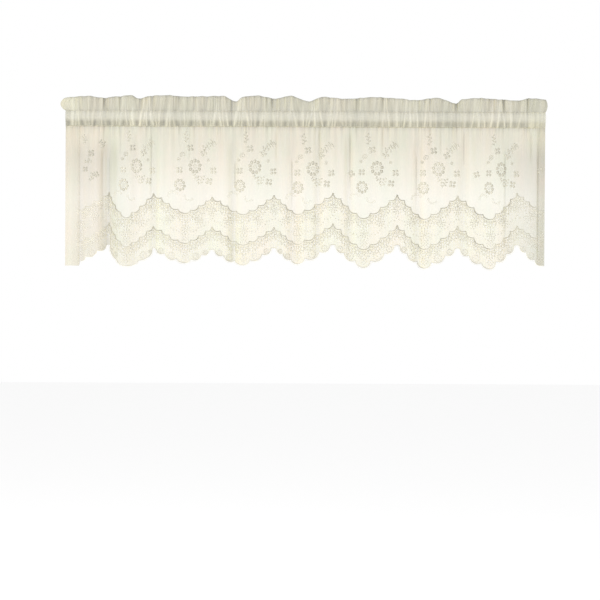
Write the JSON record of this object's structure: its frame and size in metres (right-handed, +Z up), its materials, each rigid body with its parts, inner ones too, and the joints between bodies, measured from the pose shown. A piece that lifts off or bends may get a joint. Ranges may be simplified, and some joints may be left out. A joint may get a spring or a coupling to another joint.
{
  "type": "window valance",
  "caption": "Sheer lace window valance with a gathered ruffle above an open rod pocket, and a softly folded panel that ends in a zigzag hem of small scallops.",
  "frame": {"origin": "on the line of the rod, at the middle of the rod pocket's length", "axes": "+X along the rod to the right as seen from the room, -Y to the room, +Y to the window, +Z up"},
  "size_m": [1.007, 0.0264, 0.356],
  "materials": {
    "heading_lace": "gathered double layer of matt cream lace",
    "panel_lace": "sheer matt cream lace",
    "lace_cord": "thick cream outline thread",
    "lace_motif": "dense cream thread of flowers and leaves",
    "stitching": "cream sewing thread"
  },
  "bodies": {
    "root": {"heading": "heading_lace", "panel": "panel_lace"}
  },
  "joints": []
}
